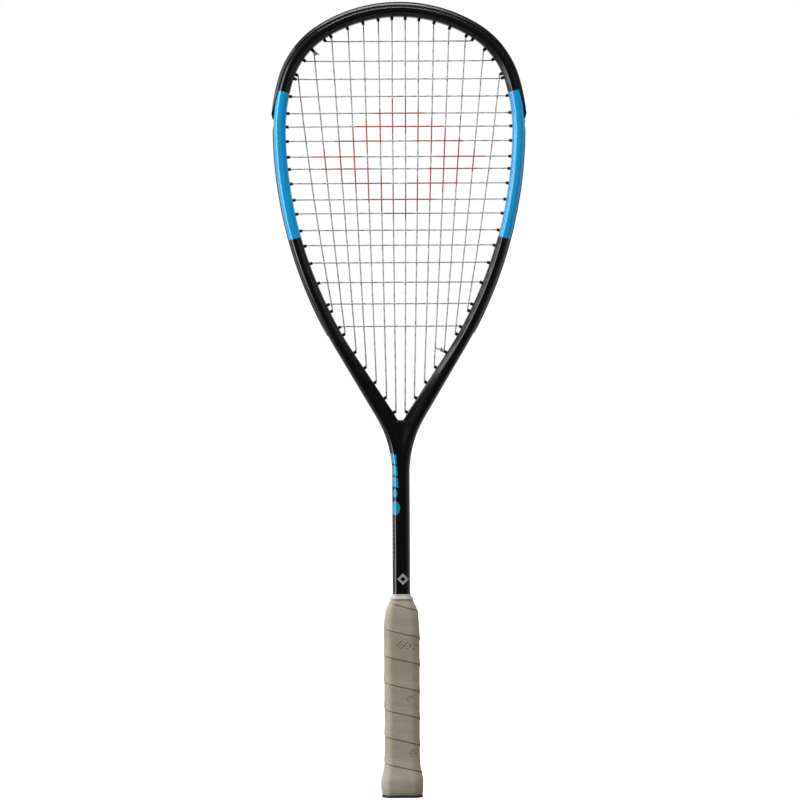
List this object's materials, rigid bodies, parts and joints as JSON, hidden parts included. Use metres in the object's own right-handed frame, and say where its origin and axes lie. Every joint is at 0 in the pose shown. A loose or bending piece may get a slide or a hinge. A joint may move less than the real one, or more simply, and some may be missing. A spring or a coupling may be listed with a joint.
{
  "type": "squash racket",
  "caption": "Teardrop-head squash racket with a strung hoop, bumper guard, grommet strips, slim shaft and a wrapped, flared handle.",
  "frame": {"origin": "centre of the flat end of the butt cap", "axes": "+Z along the shaft towards the head, the string bed lies in the XZ plane, -Y is the front face"},
  "size_m": [0.2208, 0.0332, 0.686],
  "materials": {
    "lacquered_carbon": "clear lacquer over carbon, black with one blue panel on each side",
    "guard_nylon": "moulded nylon, satin",
    "string": "twisted multifilament, with a red stencil",
    "pallet_foam": "moulded foam",
    "butt_cap": "moulded, satin",
    "staple_steel": "bright wire",
    "grip_leather": "embossed cushioned synthetic leather, wrapped",
    "finishing_tape": "thin adhesive tape"
  },
  "bodies": {
    "root": {"frame": "lacquered_carbon", "bumper_guard": "guard_nylon", "side_strip_left": "guard_nylon", "side_strip_right": "guard_nylon", "throat_strip_left": "guard_nylon", "throat_strip_right": "guard_nylon", "main_string": "string", "cross_string": "string", "tie_off_knots": "string", "handle_pallet": "pallet_foam", "butt_cap": "butt_cap", "butt_staples": "staple_steel", "grip_wrap": "grip_leather", "finishing_tape": "finishing_tape"}
  },
  "joints": []
}
